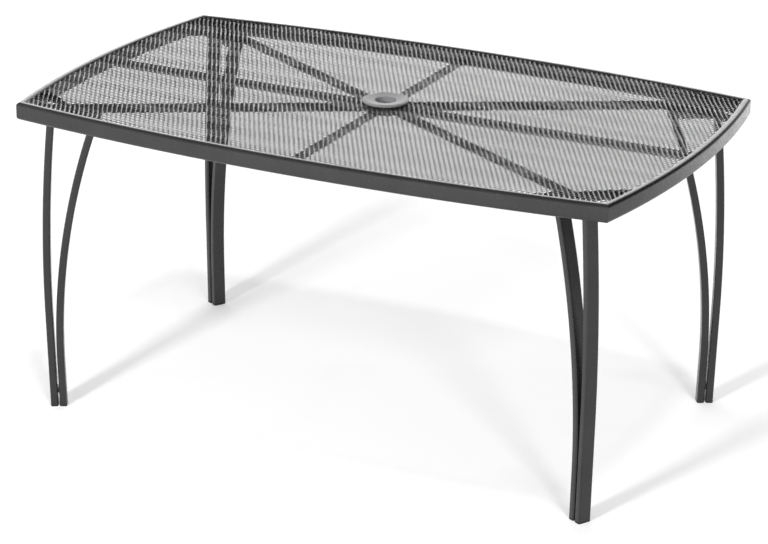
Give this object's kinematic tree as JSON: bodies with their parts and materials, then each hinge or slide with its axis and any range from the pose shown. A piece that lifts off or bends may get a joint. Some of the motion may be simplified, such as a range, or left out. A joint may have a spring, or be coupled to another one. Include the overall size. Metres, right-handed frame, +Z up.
{
  "type": "garden table",
  "caption": "Rectangular garden table with bowed sides, a steel mesh top on flat bars, a parasol ring in the middle and legs of paired bent tubes.",
  "frame": {"origin": "on the floor under the middle of the top", "axes": "+X along the long side, +Y towards the back long side, +Z up"},
  "size_m": [1.5, 0.9138, 0.7353],
  "materials": {
    "painted_steel": "semi-gloss anthracite powder coat",
    "ring_plastic": "satin grey moulded plastic",
    "cap_plastic": "matt black moulded plastic",
    "zinc_steel": "zinc-plated steel"
  },
  "bodies": {
    "root": {"back_rail": "painted_steel", "bar_back": "painted_steel", "bar_back_left": "painted_steel", "bar_back_right": "painted_steel", "bar_front": "painted_steel", "bar_front_left": "painted_steel", "bar_front_right": "painted_steel", "bar_left": "painted_steel", "bar_right": "painted_steel", "brace_back_left": "painted_steel", "brace_back_right": "painted_steel", "brace_front_left": "painted_steel", "brace_front_right": "painted_steel", "front_rail": "painted_steel", "hub_plate": "painted_steel", "hub_ring": "painted_steel", "inner_arm_back_left": "painted_steel", "inner_arm_back_right": "painted_steel", "inner_arm_front_left": "painted_steel", "inner_arm_front_right": "painted_steel", "inner_foot_cap_back_left": "cap_plastic", "inner_foot_cap_back_right": "cap_plastic", "inner_foot_cap_front_left": "cap_plastic", "inner_foot_cap_front_right": "cap_plastic", "left_rail": "painted_steel", "leg_bolts": "zinc_steel", "leg_head_back_left": "painted_steel", "leg_head_back_right": "painted_steel", "leg_head_front_left": "painted_steel", "leg_head_front_right": "painted_steel", "leg_nuts": "zinc_steel", "leg_spacer_back_left": "painted_steel", "leg_spacer_back_right": "painted_steel", "leg_spacer_front_left": "painted_steel", "leg_spacer_front_right": "painted_steel", "leg_washers": "zinc_steel", "mesh_top": "painted_steel", "mounting_plate_back_left": "painted_steel", "mounting_plate_back_right": "painted_steel", "mounting_plate_front_left": "painted_steel", "mounting_plate_front_right": "painted_steel", "outer_arm_back_left": "painted_steel", "outer_arm_back_right": "painted_steel", "outer_arm_front_left": "painted_steel", "outer_arm_front_right": "painted_steel", "outer_foot_cap_back_left": "cap_plastic", "outer_foot_cap_back_right": "cap_plastic", "outer_foot_cap_front_left": "cap_plastic", "outer_foot_cap_front_right": "cap_plastic", "parasol_ring": "ring_plastic", "right_rail": "painted_steel"}
  },
  "joints": []
}
